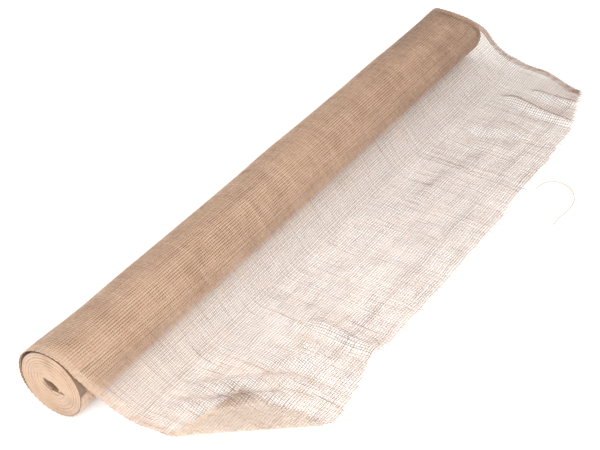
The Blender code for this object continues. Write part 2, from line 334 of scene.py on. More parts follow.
# The left selvedge is drawn inward: (how far down the cloth from the roll's top, by how much).
LEFT_DRIFT = (
    (0.0, 0.0),
    (0.04, 0.002),
    (0.065, 0.010),
    (0.105, 0.025),
    (0.13, 0.036),
    (0.18, 0.041),
)
DRIFT_REACH = 0.16  # the left side's drift dies out this far across the cloth
RIGHT_LIFT = 0.017  # how high the right selvedge stands off the floor
RIGHT_LIFT_REACH = 0.065  # how far in from it the cloth comes down again
STAND_OFF = 0.00035  # the last turn's own low waves
SWELL = 0.0011  # the lap's
FLAP_SWELL = 0.0006  # the turned corner's
GATHER = 0.50  # a crease draws the yarns beside it together by this share of their distance
PROFILE_STEP = 0.001  # the side profiles are worked out at every millimetre
PROFILE_LENGTH = 0.42

random = np.random.default_rng(7)


def smoothstep(x):
    """0 below 0, 1 above 1, and 3x^2 - 2x^3 between."""
    x = np.clip(x, 0, 1)
    return x * x * (3 - 2 * x)


def ripples(a, b, longest, shortest, count, seed):
    """Smooth noise about 0 with unit spread.

    It is a sum of plane waves over (a, b), each of random direction, length and phase.
    """
    draws = np.random.default_rng(seed)
    total = np.zeros(np.broadcast(a, b).shape)
    for _ in range(count):
        turn, phase = draws.uniform(0, 2 * math.pi, 2)
        length = math.exp(draws.uniform(math.log(shortest), math.log(longest)))
        total += np.sin(2 * math.pi * (a * math.cos(turn) + b * math.sin(turn)) / length + phase)
    return total / math.sqrt(count / 2)


def between(u, left, middle, right):
    """A value that goes from middle to left or right across the cloth, as the square of the way."""
    share = u / half_width
    return middle + np.where(share < 0, left - middle, right - middle) * share**2


def side_profiles(columns):
    """The cloth's side view at each u, as its y and z at every PROFILE_STEP of its length.

    It goes round the roll to a leave angle, falls straight along the tangent, bends at a constant
    radius to the floor, and lies flat. The leave angle is halved in on until the bend ends at the
    foot.
    """
    foot = between(columns, FOOT_LEFT, FOOT_MIDDLE, FOOT_RIGHT)
    bend = between(columns, BEND_LEFT, BEND_MIDDLE, BEND_RIGHT)
    middle = roll_radius - WEAVE_RISE - YARN_HALF_HEIGHT
    ground = WEAVE_RISE + YARN_HALF_HEIGHT
    low, high = np.full(len(columns), 0.2), np.full(len(columns), 1.5)
    for _ in range(40):
        angle = (low + high) / 2
        fall = axis_z + middle * np.cos(angle) - ground - bend * (1 - np.cos(angle))
        straight = fall / np.sin(angle)
        far = (middle + bend) * np.sin(angle) + straight * np.cos(angle) > foot
        low, high = np.where(far, angle, low), np.where(far, high, angle)
    s = np.arange(0, PROFILE_LENGTH, PROFILE_STEP)[None, :]
    angle, straight, bend = (x[:, None] for x in (angle, straight, bend))
    turn = np.minimum(s / middle, angle)
    down = np.clip(s - middle * angle, 0, straight)
    left = angle - np.clip((s - middle * angle - straight) / bend, 0, angle)
    flat = np.maximum(s - middle * angle - straight - bend * angle, 0)
    y = -middle * np.sin(turn) - down * np.cos(angle)
    y = y - bend * (np.sin(angle) - np.sin(left)) - flat
    z = axis_z + middle * np.cos(turn) - down * np.sin(angle)
    z = z - bend * (np.cos(left) - np.cos(angle))
    return y, z


profile_u = np.linspace(-half_width, half_width, 81)
profile_y, profile_z = side_profiles(profile_u)


def from_profile(table, u, s):
    """The table's value at (u, s), by straight steps between its rows and columns."""
    last = len(profile_u) - 1
    i = np.clip((u + half_width) / (2 * half_width) * last, 0, last - 0.001)
    j = np.clip(s / PROFILE_STEP, 0, table.shape[1] - 1.001)
    i0, j0 = i.astype(int), j.astype(int)
    p, q = i - i0, j - j0
    return (1 - p) * ((1 - q) * table[i0, j0] + q * table[i0, j0 + 1]) + p * (
        (1 - q) * table[i0 + 1, j0] + q * table[i0 + 1, j0 + 1]
    )


# The soft creases pressed into the lap: (start, end, height, half width), in plan.
CREASES = (
    ((0.409, -0.125), (0.396, -0.262), 0.0065, 0.0065),
    ((0.436, -0.160), (0.456, -0.236), 0.0050, 0.0060),
    ((-0.201, -0.160), (-0.209, -0.262), 0.0060, 0.0075),
    ((-0.428, -0.098), (-0.335, -0.205), 0.0055, 0.0100),
    ((-0.392, -0.100), (-0.300, -0.200), 0.0040, 0.0090),
    ((-0.300, -0.150), (-0.255, -0.215), 0.0030, 0.0090),
    ((0.080, -0.150), (0.240, -0.175), 0.0030, 0.0110),
    ((0.300, -0.120), (0.330, -0.200), 0.0025, 0.0090),
)


def creases(x, y):
    """The creases' height and sideways gather: a bell across each segment, faded at both ends."""
    height, shift = np.zeros_like(x), np.zeros_like(x)
    for (x0, y0), (x1, y1), rise, spread in CREASES:
        long = math.hypot(x1 - x0, y1 - y0)
        along = ((x - x0) * (x1 - x0) + (y - y0) * (y1 - y0)) / long**2
        across = ((x - x0) * (y1 - y0) - (y - y0) * (x1 - x0)) / long
        fade = smoothstep(along / 0.25) * smoothstep((1.15 - along) / 0.25)
        bell = np.exp(-((across / spread) ** 2)) * fade
        height += rise * bell
        drawn = GATHER * across * np.exp(-((across / (2.2 * spread)) ** 2)) * fade
        shift -= drawn * (y0 - y1) / long
    return height, shift


def cloth_points(u, v):
    """Where the cloth's middle lies at (u, v), before the corner is turned back.

    Behind the roll's top it follows the roll, and in front of it the side profile. To that are
    added looseness at the roll's ends, the lean, the left side's pull inward, the creases, a low
    swell and the right selvedge's bell.
    """
    s = v + roll_radius * hinge_angle
    y, z = from_profile(profile_y, u, s), from_profile(profile_z, u, s)
    middle = roll_radius - WEAVE_RISE - YARN_HALF_HEIGHT
    behind = s < 0
    y = np.where(behind, -middle * np.sin(s / roll_radius), y)
    z = np.where(behind, axis_z + middle * np.cos(s / roll_radius), z)

    # The outer turn stands a little off the rest, most at its two ends and nowhere underneath.
    turn = s / roll_radius
    top = smoothstep((turn + 2.7) / 0.9) * smoothstep((0.10 - s) / 0.05)
    off = FLARE * smoothstep((u - FLARE_START) / FLARE_LENGTH)
    gap = GAP_FRONT + (GAP_BACK - GAP_FRONT) * smoothstep(-turn / 1.2)
    off = off + gap * smoothstep(1 - (u + half_width) / GAP_REACH)
    off = (off + STAND_OFF * (1 + ripples(u, v, 0.5, 0.09, 9, 3)).clip(0)) * top
    y = y - off * np.sin(np.clip(turn, -3.2, 1.1))
    z = z + off * np.cos(np.clip(turn, -3.2, 1.1))

    # The right end leans back at its top. Down the lap the left side drifts inward.
    lean = LEAN * np.cos(np.clip(turn, -math.pi / 2, math.pi / 2)) ** 2
    x = u - lean * smoothstep((u - LEAN_START) / (half_width - LEAN_START))
    knots, drift = np.array(LEFT_DRIFT).T
    fade = np.exp(-(((u + half_width) / DRIFT_REACH) ** 1.5))
    x = x + np.interp(s, knots, drift) * fade

    on_floor = smoothstep((-y - 0.080) / 0.045)
    rise, shift = creases(x, y)
    x = x + shift * on_floor
    swell = SWELL * (1 + ripples(x, y, 0.30, 0.07, 10, 11)).clip(0)
    edge = RIGHT_LIFT * np.exp(-(((half_width - u) / RIGHT_LIFT_REACH) ** 1.5))
    edge = edge * smoothstep((-y - 0.07) / 0.05) * smoothstep((y + 0.228) / 0.07)
    z = z + (rise + swell) * on_floor + edge
    return np.stack([x, y, np.maximum(z, WEAVE_RISE + YARN_HALF_HEIGHT)], axis=-1)


def beyond_fold(points):
    """How far each point lies past the fold line, in plan. Points of the lap itself are below 0."""
    return (points[..., :2] - fold_start) @ fold_out


def turned_back(points):
    """The cloth after the corner is folded.

    What lies past the fold goes round a half circle of FOLD_RADIUS and comes back over the lap.
    """
    past = beyond_fold(points)
    turn = np.clip(past / FOLD_RADIUS, 0, math.pi)
    out = FOLD_RADIUS * np.sin(turn) - np.maximum(past - math.pi * FOLD_RADIUS, 0)
    moved = points.copy()
    moved[..., :2] += (out - np.maximum(past, 0))[..., None] * fold_out
    above = FOLD_RADIUS * (1 - np.cos(turn))
    folded = points[..., 2] * np.cos(turn / 2) ** 2 + above
    moved[..., 2] = np.where(past > 0, folded, moved[..., 2])
    over = past > math.pi * FOLD_RADIUS
    swell = FLAP_SWELL * (1 + ripples(moved[..., 0], moved[..., 1], 0.08, 0.03, 8, 21)).clip(0)
    moved[..., 2] += np.where(over, FOLD_GAP + swell, 0)
    return moved


def plan_of(node):
    """The points of one of the frame's meshes, seen from above."""
    return np.array([v.co for v in frame["nodes"][node].data.vertices])[:, :2]


# The cut end in plan, read from the frame: the corner as it lay before it was turned back, and
# the outermost points of the fringe, at most one for every 4 mm.
fringe_points = plan_of("cut_end_fringe")
flap_points = plan_of("turned_corner_fringe")
flap_tip = flap_points[np.argmin((flap_points - fold_start) @ fold_out)]
corner = flap_tip - 2 * ((flap_tip - fold_start) @ fold_out) * fold_out
cut_x = np.unique(np.round(fringe_points[:, 0], 5))
cut_y = np.array([fringe_points[np.abs(fringe_points[:, 0] - x) < 1e-4, 1].min() for x in cut_x])
outer = np.concatenate([[True], np.diff(cut_x) > 0.004])
cut_x = np.concatenate([[corner[0]], cut_x[outer]])
cut_y = np.concatenate([[corner[1]], cut_y[outer]])

CUT_MARGIN = 0.0045  # the last crossings lie this far inside the yarns' cut tips
# The cut is not quite straight: (x, how much the cloth there is short of the frame's line).
CUT_TRIM = (
    (-0.26, -0.003),
    (-0.22, 0.003),
    (-0.18, -0.006),
    (-0.12, 0.002),
    (-0.02, 0.008),
    (0.10, 0.005),
    (0.18, 0.008),
    (0.26, 0.002),
    (0.34, -0.008),
    (0.38, -0.017),
    (0.42, -0.013),
    (0.50, -0.006),
)


def to_cut(points):
    """How far each point is from the cut end, down the cloth. Past the cut it is below 0."""
    trim_x, trim = np.array(CUT_TRIM).T
    line = np.interp(points[..., 0], cut_x, cut_y) + np.interp(points[..., 0], trim_x, trim)
    return points[..., 1] - line


# The crossing grid. Selvedge yarns lie close together, the others WARP_PITCH apart, and all
# of them wander a little, as the loose weave lets them.
selvedge_u = np.concatenate(
    [[LOOP / 2], np.linspace(LOOP + 0.0006, SELVEDGE_WIDTH - 0.0006, SELVEDGE_YARNS)]
)
web_edge = half_width - SELVEDGE_WIDTH
web_u = np.arange(-half_width + SELVEDGE_WIDTH + 0.0012, web_edge, WARP_PITCH)
warp_u = np.concatenate([selvedge_u - half_width, web_u, half_width - selvedge_u[::-1]])
weft_v = np.arange(TURN_START, LONGEST_V, WEFT_PITCH)
hinge_row = int(np.argmin(np.abs(weft_v)))
weft_v = weft_v - weft_v[hinge_row]
FOOT_V = 0.046  # the lap's own pieces start here, past the hinge's bend
foot_row = int(np.argmin(np.abs(weft_v - FOOT_V)))

grid_u, grid_v = np.meshgrid(warp_u, weft_v, indexing="ij")
in_web = smoothstep((web_edge - np.abs(grid_u)) / 0.010)
loose = 0.22 + 0.78 * smoothstep((grid_v - 0.05) / 0.12)
grid_u = grid_u + in_web * (
    random.normal(0, 0.00020, len(warp_u))[:, None]
    + loose * 0.00045 * ripples(grid_u, grid_v, 0.16, 0.030, 14, 31)
    + loose * 0.00018 * ripples(grid_u * 9, grid_v, 0.12, 0.03, 14, 32)
    + random.normal(0, 0.00009, grid_u.shape)
)
grid_v = grid_v + (
    random.normal(0, 0.00018, len(weft_v)).clip(-0.0003, 0.0003)[None, :]
    + loose * 0.00055 * ripples(grid_u, grid_v, 0.22, 0.035, 14, 33)
    + loose * 0.00020 * ripples(grid_u, grid_v * 9, 0.15, 0.04, 14, 34)
    + random.normal(0, 0.00009, grid_v.shape)
)
# Outside the last warp yarn each weft meets its neighbour, which makes the loops of the edge.
for column, first in ((0, 0), (-1, 1)):
    last = first + (len(weft_v) - first) // 2 * 2
    meet = (grid_v[column, first:last:2] + grid_v[column, first + 1 : last : 2]) / 2
    grid_v[column, first:last] = np.repeat(meet, 2)
flat_points = cloth_points(grid_u, grid_v)
past_fold = beyond_fold(flat_points)
cut_margin = to_cut(flat_points)
points = turned_back(flat_points)


def normals_of(grid):
    """A grid's unit normals, on the side that faces out of the roll and up from the lap."""
    across, down = np.gradient(grid, axis=0), np.gradient(grid, axis=1)
    normal = np.cross(down, across)
    return normal / np.linalg.norm(normal, axis=-1, keepdims=True)


normals = normals_of(points)
# 1 or -1 by turns: which of the two yarns goes over at each crossing.
parity = (np.add.outer(np.arange(len(warp_u)), np.arange(len(weft_v))) % 2) * 2 - 1


def yarn_sizes(count, length, pitch, seed):
    """Thickness and tone along each yarn.

    Each has a value of its own, slow drift as a sine, unevenness from point to point, and now and
    then a slub: a bell along the yarn where it is thicker and darker.
    """
    draws = np.random.default_rng(seed)
    s = np.arange(length)[None, :] * pitch
    own = np.exp(draws.normal(0, 0.10, (count, 1)).clip(-0.16, 0.16))
    wave, phase = draws.uniform(0.006, 0.03, (count, 1)), draws.uniform(0, 6, (count, 1))
    drift = 1 + 0.10 * np.sin(s / wave + phase)
    size = own * drift * (1 + draws.normal(0, 0.13, (count, length)))
    tone = 0.50 + draws.normal(0, 0.08, (count, 1)).clip(-0.14, 0.14)
    tone = tone + draws.normal(0, 0.09, (count, length))
    tone = tone + 0.05 * np.sin(s / 0.02 + draws.uniform(0, 6, (count, 1)))
    slubs = int(1.1 * count)
    which = draws.integers(0, count, slubs)
    where = draws.uniform(0, s.max(), slubs)
    reach = draws.uniform(0.005, 0.020, slubs)
    strength = draws.uniform(0.15, 0.60, slubs)
    for i, at, spread, much in zip(which, where, reach, strength):
        bell = much * np.exp(-(((s[0] - at) / spread) ** 2))
        size[i] += bell
        tone[i] -= 0.5 * bell
    return size, tone


warp_size, warp_tone = yarn_sizes(len(warp_u), len(weft_v), WEFT_PITCH, 41)
weft_size, weft_tone = yarn_sizes(len(weft_v), len(warp_u), WARP_PITCH, 42)
# Off the roll the yarns are thinner, and painted darker as painted shade, the more towards the
# right, away from the lamps; its edges are uneven. On the roll the right end is painted darker,
# as painted shade. The right edge is painted darker, as painted shade, and the creases are painted
# darker, as painted shade in them. The turned corner is painted paler, as painted light against the
# shade of its double layer.
patchy = (1 - in_web) * (0.25 * ripples(grid_u, grid_v, 0.03, 0.007, 12, 43) - 0.20)
warp_size = warp_size * (1 + 0.12 * (1 - in_web) + patchy * smoothstep((grid_v - 0.02) / 0.05))
off_roll = smoothstep(grid_v / 0.06)
right_edge = (1 - in_web) * (grid_u > 0)
left_edge = (1 - in_web) * (grid_u < 0)
# painted shade: the yarns off the roll are darkened, more towards the right; the left edge less
lap_painted_shade = 0.33 + 0.16 * grid_u / half_width
# painted shade on the right edge, which lies in shade, edge-on to the view
shade = -lap_painted_shade * off_roll * (1 - 0.4 * left_edge) - 0.16 * right_edge + 0.04 * left_edge
# painted shade: the roll's right end, away from the lamps, is darkened
shade = shade - 0.26 * smoothstep(grid_u / half_width) * (1 - off_roll)
# pressed: how high each crease stands, painted darker below as painted shade, and thickened
pressed = creases(flat_points[..., 0], flat_points[..., 1])[0] * off_roll / 0.006
# painted light: the turned corner is made paler, against the shade of its double layer
shade = shade - 0.22 * pressed + 0.62 * (past_fold > 0)
thickness = (1 + 0.30 * right_edge) * (1 - 0.10 * off_roll)
thickness = thickness * (1 - 0.14 * (past_fold > 0) * in_web) * (1 + 0.22 * pressed)
warp_size, weft_size = warp_size * thickness, weft_size * thickness.T
warp_tone, weft_tone = warp_tone + shade, weft_tone + shade.T

# --- The wound turns ---
# About 35 turns of the same hessian, wound on nothing: the middle has fallen in to a slit. Only
# the outermost of them shows, as a darker weave seen between the yarns of the loose last turn.
wound_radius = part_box("wound_turns_outer")[1].y
web_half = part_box("wound_turns_outer")[1].x
SKIN_RADIUS = wound_radius - 0.0002
SKIN_ROUND = 160
SKIN_ALONG = 240
SKIN_OVERLAP = 0.0001  # how far it reaches into each end face
SKIN_LEAN_LENGTH = 0.27  # its lean is full this far past LEAN_START, behind the end face
CLOSED_RADIUS = 0.013  # its ends close in to this behind the end faces
UNDER_DARK = "#8D6D54"
UNDER_LIGHT = "#BC9C82"
GAP_PAINTED_SHADE = "#5E4331"
UNDER_WANDER = 0.0016  # how far the drawn yarns stray
UNDER_WANDER_SCALE = 60.0  # in strays to the metre
UNDER_FIBRE_SCALE = 1 / 0.0012  # fibre bundles 1.2 mm apart

# The same undyed jute, seen in the shade under a layer of itself: matt, with painted shade in the
# gaps between its yarns. Its weave is drawn in the piece's own map, whose unit is a metre: yarns
# 3.5 and 2.9 mm apart.
under_weave, tree, output = new_material("jute_hessian_in_the_roll")
cloth_map = add_node(tree, "ShaderNodeUVMap", uv_map="cloth")
wander = add_node(
    tree,
    "ShaderNodeTexNoise",
    {"Vector": cloth_map.outputs[0], "Scale": UNDER_WANDER_SCALE, "Detail": 2.0},
)
wander_by = add_node(
    tree,
    "ShaderNodeVectorMath",
    {0: wander.outputs["Color"], 1: (UNDER_WANDER, UNDER_WANDER, 0.0)},
    operation="MULTIPLY",
)
placed = add_node(
    tree, "ShaderNodeVectorMath", {0: cloth_map.outputs[0], 1: wander_by.outputs[0]}
)
split = add_node(tree, "ShaderNodeSeparateXYZ", {0: placed.outputs[0]})
heights = []
for axis_name, pitch in (("X", WARP_PITCH), ("Y", WEFT_PITCH)):
    turned = {0: split.outputs[axis_name], 1: 2 * math.pi / pitch}
    wave = add_node(tree, "ShaderNodeMath", turned, operation="MULTIPLY")
    wave = add_node(tree, "ShaderNodeMath", {0: wave.outputs[0]}, operation="COSINE")
    halved = {0: wave.outputs[0], 1: 0.5, 2: 0.5}
    wave = add_node(tree, "ShaderNodeMath", halved, operation="MULTIPLY_ADD")
    heights.append(wave.outputs[0])
yarn_top = add_node(tree, "ShaderNodeMath", dict(enumerate(heights)), operation="MAXIMUM")
fibres = add_node(
    tree,
    "ShaderNodeTexNoise",
    {"Vector": cloth_map.outputs[0], "Scale": UNDER_FIBRE_SCALE, "Detail": 3.0},
)
ramp = add_node(tree, "ShaderNodeValToRGB", {"Fac": yarn_top.outputs[0]})
stops = ramp.color_ramp.elements
# painted shade in the gaps between the drawn yarns
stops[0].position, stops[0].color = 0.30, linear(GAP_PAINTED_SHADE)
stops[1].position, stops[1].color = 0.90, linear(UNDER_LIGHT)
stops.new(0.58).color = linear(UNDER_DARK)
mottle = add_node(
    tree,
    "ShaderNodeMix",
    {0: 0.35, 6: ramp.outputs["Color"], 7: fibres.outputs["Color"]},
    data_type="RGBA",
    blend_type="SOFT_LIGHT",
)
relief = add_node(
    tree, "ShaderNodeBump", {"Height": yarn_top.outputs[0], "Strength": 0.8, "Distance": 0.0006}
)
shader = add_node(
    tree,
    "ShaderNodeBsdfPrincipled",
    {
        "Base Color": mottle.outputs[2],
        "Normal": relief.outputs["Normal"],
        "Roughness": 0.92,
        "Sheen Weight": 0.15,
        "Specular IOR Level": 0.2,
    },
)
tree.links.new(shader.outputs[0], output.inputs[0])


def quad_mesh(name, points, faces):
    """A smooth mesh of four-cornered faces."""
    mesh = bpy.data.meshes.new(name)
    mesh.vertices.add(len(points))
    mesh.vertices.foreach_set("co", points.astype(np.float32).ravel())
    mesh.loops.add(faces.size)
    mesh.loops.foreach_set("vertex_index", faces.astype(np.int32).ravel())
    mesh.polygons.add(len(faces))
    mesh.polygons.foreach_set("loop_start", np.arange(0, faces.size, 4, dtype=np.int32))
    mesh.polygons.foreach_set("use_smooth", np.ones(len(faces), bool))
    return mesh


def surface_piece(name, grid, material, face_map=None):
    """A surface through a grid of points, rows by columns, whose last column joins its first.

    Its faces look the way of (along a row) x (down a column).
    """
    rows, cols = grid.shape[:2]
    index = np.arange(rows * cols).reshape(rows, cols)
    right = np.roll(index, -1, axis=1)
    faces = np.stack([index[:-1], right[:-1], right[1:], index[1:]], axis=-1).reshape(-1, 4)
    mesh = quad_mesh(name, grid.reshape(-1, 3), faces)
    if face_map is not None:
        layer = mesh.uv_layers.new(name="cloth")
        layer.uv.foreach_set("vector", face_map.reshape(-1, 2).astype(np.float32).ravel())
    mesh.update(calc_edges=True)
    mesh.validate()
    mesh.materials.append(material)
    return link_object(name, mesh)


def corners_of_faces(rows, cols):
    """The row and column of each face's four corners in such a grid."""
    row, col = np.indices((rows - 1, cols)).reshape(2, -1)
    corner_rows = np.stack([row, row, row + 1, row + 1], axis=1)
    corner_cols = np.stack([col, col + 1, col + 1, col], axis=1)
    return corner_rows, corner_cols


# A long closed tube, kept round so that it can turn inside the last turn.
turn = np.arange(SKIN_ROUND) / SKIN_ROUND * 2 * math.pi
skin_u = np.linspace(-web_half - SKIN_OVERLAP, web_half + SKIN_OVERLAP, SKIN_ALONG)
skin_u = np.concatenate([skin_u[:1], skin_u, skin_u[-1:]])[:, None]
skin_r = np.full((len(skin_u), SKIN_ROUND), SKIN_RADIUS)
skin_r += 0.00010 * ripples(skin_u, 0, 0.3, 0.05, 8, 51)
skin_r[0] = skin_r[-1] = CLOSED_RADIUS
lean_back = LEAN * np.clip(np.cos(turn), 0, 1) ** 2
skin_x = skin_u - lean_back * smoothstep((skin_u - LEAN_START) / SKIN_LEAN_LENGTH)
skin_y, skin_z = skin_r * np.sin(turn), axis_z + skin_r * np.cos(turn)
skin = np.stack([skin_x, skin_y, skin_z], axis=-1)[:, ::-1]
corner_rows, corner_cols = corners_of_faces(len(skin_u), SKIN_ROUND)
round_it = corner_cols / SKIN_ROUND * 2 * math.pi * SKIN_RADIUS
skin_map = np.stack([skin_u[corner_rows, 0], round_it], axis=-1)
wound_turns = surface_piece("wound_turns", skin, under_weave, skin_map)
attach(wound_turns, "wound_roll")
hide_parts("wound_turns_inner", "wound_turns_middle", "wound_turns_outer")

# --- The ends of the wound turns ---
# The stacked selvedges of all the turns, pressed together as the cloth was wound: pale, close and
# finely ridged in a spiral. The fallen-in slit in the middle is painted dark a few centimetres in,
# as painted shade.
TURNS = 34
SAMPLES_PER_TURN = 9
END_ROUND = 168
SLIT_LENGTH = 0.0220
SLIT_WIDTH = 0.0080
SLIT_TILT = math.radians(22)
SLIT_DEPTH = 0.045
RIDGE_HEIGHT = 0.00045
OPENING_DEPTH = 0.0030
EDGE_DARK = "#6A4F3B"
EDGE_MIDDLE = "#AD917A"
EDGE_LIGHT = "#C2A88F"
# Undyed jute seen end on: the same matt yarn, with painted shade in the gaps between turns.
jute_edges = yarn_material("stacked_jute_selvedges", EDGE_DARK, EDGE_MIDDLE, EDGE_LIGHT)

# Narrow openings between the inmost turns: (along the slit towards the lap, across it
# downwards, half length, half width, bow), with the middle of the slit at (0, 0).
OPENINGS = (
    (0.0165, 0.0000, 0.0030, 0.0010, 0.0),
    (0.0125, 0.0030, 0.0024, 0.0007, 0.0),
    (0.0010, 0.0062, 0.0095, 0.0007, 0.0022),
    (-0.0020, 0.0088, 0.0080, 0.0005, 0.0026),
    (0.0060, 0.0112, 0.0070, 0.0004, 0.0028),
)


def stacked(*arrays):
    """These arrays, spread over each other and laid side by side along a new last axis."""
    return np.stack(np.broadcast_arrays(*arrays), axis=-1)


def add_tone(mesh, tones):
    """Stores the tone of every point, which the yarn materials read."""
    layer = mesh.attributes.new("tone", "FLOAT", "POINT")
    layer.data.foreach_set("value", tones.astype(np.float32).ravel())


def end_face(name, outside, depth):
    """One end of the roll as a closed shell.

    Rows go out from the bottom of the slit, over the face from the slit's flat ellipse to the
    full circle, round the rim and back behind it. On the face each turn is a ridge: its height
    is a rounded wave of (turns crossed - angle / 2 pi). Rings and narrow openings go into it.
    The grooves between ridges, the openings and the slit are painted darker, as painted shade.
    """
    direction = 1 if outside > 0 else -1
    angle = np.arange(END_ROUND) / END_ROUND * 2 * math.pi
    tilted = angle + SLIT_TILT
    along, across = SLIT_LENGTH / 2 * np.sin(tilted), SLIT_WIDTH / 2 * np.cos(tilted)
    across = across * (1 - 0.40 * np.sin(tilted) + 0.12 * np.sin(5 * tilted + 2.0))
    slit_y = along * math.cos(SLIT_TILT) - across * math.sin(SLIT_TILT)
    slit_z = along * math.sin(SLIT_TILT) + across * math.cos(SLIT_TILT)
    rim_y, rim_z = wound_radius * np.sin(angle), wound_radius * np.cos(angle)
    share = np.linspace(0, 1, TURNS * SAMPLES_PER_TURN)[:, None]
    open_up = share**0.9
    y = slit_y * (1 - open_up) + rim_y * open_up
    z = slit_z * (1 - open_up) + rim_z * open_up
    phase = share * TURNS - angle[None, :] / (2 * math.pi)
    ridge = np.abs(np.cos(math.pi * phase)) ** 0.6
    draws = np.random.default_rng(61)
    rings = np.zeros_like(phase)
    for _ in range(12):  # rings a turn or more apart, each set swaying one to three times round
        apart, sway = draws.uniform(1.2, 5.0), draws.uniform(0.3, 1.6)
        bends = draws.integers(1, 4)
        first, second = draws.uniform(0, 2 * math.pi, 2)
        swing = sway * np.sin(bends * angle + first)[None, :]
        rings += np.sin(2 * math.pi * share * TURNS / apart + swing + second)
    tone = 0.55 + 0.050 * rings + 0.045 * ripples(y, z, 0.05, 0.003, 24, 62)
    # painted shade in the grooves between the turns
    tone = tone - 0.16 * (1 - ridge)
    height = RIDGE_HEIGHT * ridge + 0.00008 * rings + 0.00020 * ripples(y, z, 0.06, 0.020, 10, 64)
    down = -y * math.cos(SLIT_TILT) - z * math.sin(SLIT_TILT)
    below = y * math.sin(SLIT_TILT) - z * math.cos(SLIT_TILT)
    for at, off, half_length, half_thick, bow in OPENINGS:
        reach = (down - at) / half_length
        away = (below - off + bow * reach**2) / half_thick
        opening = np.exp(-(away**2)) * np.exp(-(reach**4))
        # painted shade in the openings
        tone = tone - 1.3 * opening
        height = height - OPENING_DEPTH * opening
    # painted shade towards the slit
    tone = tone - 0.30 * smoothstep(1 - share / 0.06)
    x = outside - direction * (0.0008 - height * 0.9)
    face = np.stack([x, y, z + axis_z], axis=-1)

    inward = np.linspace(1, 0, 12)[:, None]
    narrow = 1 - 0.6 * inward
    well_x = x[:1] - direction * SLIT_DEPTH * inward
    well = stacked(well_x, slit_y * narrow, slit_z * narrow + axis_z)
    narrowing = np.array([[1.0], [1.0], [0.999]])
    rim_x = np.array([[0.0010], [0.0030], [depth]]) * -direction + outside
    rim = stacked(rim_x, rim_y * narrowing, rim_z * narrowing + axis_z)
    bottom, behind = (
        np.broadcast_to([outside - direction * deep, 0.0, axis_z], (1, END_ROUND, 3))
        for deep in (SLIT_DEPTH, SLIT_DEPTH + 0.002)
    )
    shell = np.concatenate([bottom, well[:-1], face, rim, behind])
    # painted shade down the slit, darkest at its bottom
    tones = np.concatenate(
        [
            np.full((1, END_ROUND), -0.3),
            np.broadcast_to(0.15 - 0.9 * inward[:-1], (len(inward) - 1, END_ROUND)),
            tone,
            np.full((3, END_ROUND), 0.02),
            np.full((1, END_ROUND), 0.2),
        ]
    )
    if direction > 0:
        shell[..., 0] -= LEAN * np.clip((shell[..., 2] - axis_z) / wound_radius, 0, 1) ** 2
        shell, tones = shell[:, ::-1], tones[:, ::-1]
    made = surface_piece(name, shell, jute_edges)
    add_tone(made.data, tones)
    return made


for side, sign in (("left", -1), ("right", 1)):
    wound_end = end_face(f"wound_{side}_edges", sign * half_width, SELVEDGE_WIDTH)
    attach(wound_end, "wound_roll")
    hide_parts(f"wound_{side}_selvedges")

# --- The outer turn ---
# The last full turn of the jute cloth, standing slightly off the rest. It is made yarn by yarn, in
# three breadths with a close selvedge at each end, and doesn't turn with the roll inside it.
YARN_DARK = "#896C58"
YARN_MIDDLE = "#BE9F87"
YARN_LIGHT = "#DBC6B0"


def tubes(lines, up, size, tone, kept, capped=False):
    """Four-sided yarns along the rows of lines, as points, faces, tones and a map.

    Each ring's corners lie at the line plus and minus YARN_HALF_WIDTH along the yarn's side and
    YARN_HALF_HEIGHT along up, both times size. kept says which stretches between two points
    exist. A yarn that goes on in the next piece is left open there, and capped closes each run at
    both ends. The map gives every yarn its own strip.
    """
    count, length = lines.shape[:2]
    along = np.gradient(lines, axis=1)
    side = np.cross(along, up)
    side /= np.linalg.norm(side, axis=-1, keepdims=True) + 1e-12
    wide = side * (YARN_HALF_WIDTH * size)[..., None]
    high = up * (YARN_HALF_HEIGHT * size)[..., None]
    corners = np.stack([lines + wide, lines + high, lines - wide, lines - high], axis=2)
    index = np.arange(count * length * 4).reshape(count, length, 4)
    after = np.roll(index, -1, axis=2)
    walls = np.stack([index[:, :-1], index[:, 1:], after[:, 1:], after[:, :-1]], axis=-1)[kept]
    shut = np.zeros((count, 1), bool)
    first = kept & ~np.concatenate([shut, kept[:, :-1]], axis=1)
    last = kept & ~np.concatenate([kept[:, 1:], shut], axis=1)
    row = (np.arange(count)[:, None, None] * 4 + np.arange(4)) / (count * 4)
    step = 1 / (count * 4)
    col = np.arange(length)[None, :, None] / (length - 1)
    low, right = stacked(col[:, :-1], row), stacked(col[:, 1:], row)
    rise = np.array([0.0, step])
    wall_map = np.stack([low, right, right + rise, low + rise], axis=3)[kept].reshape(-1, 4, 2)
    caps = np.concatenate([index[:, :-1][first], index[:, 1:][last][:, ::-1]])
    caps = caps if capped else caps[:0]
    cap_map = np.zeros((len(caps), 4, 2))
    return (
        corners.reshape(-1, 3),
        np.concatenate([walls.reshape(-1, 4), caps]),
        np.repeat(tone.ravel(), 4),
        np.concatenate([wall_map, cap_map]),
    )


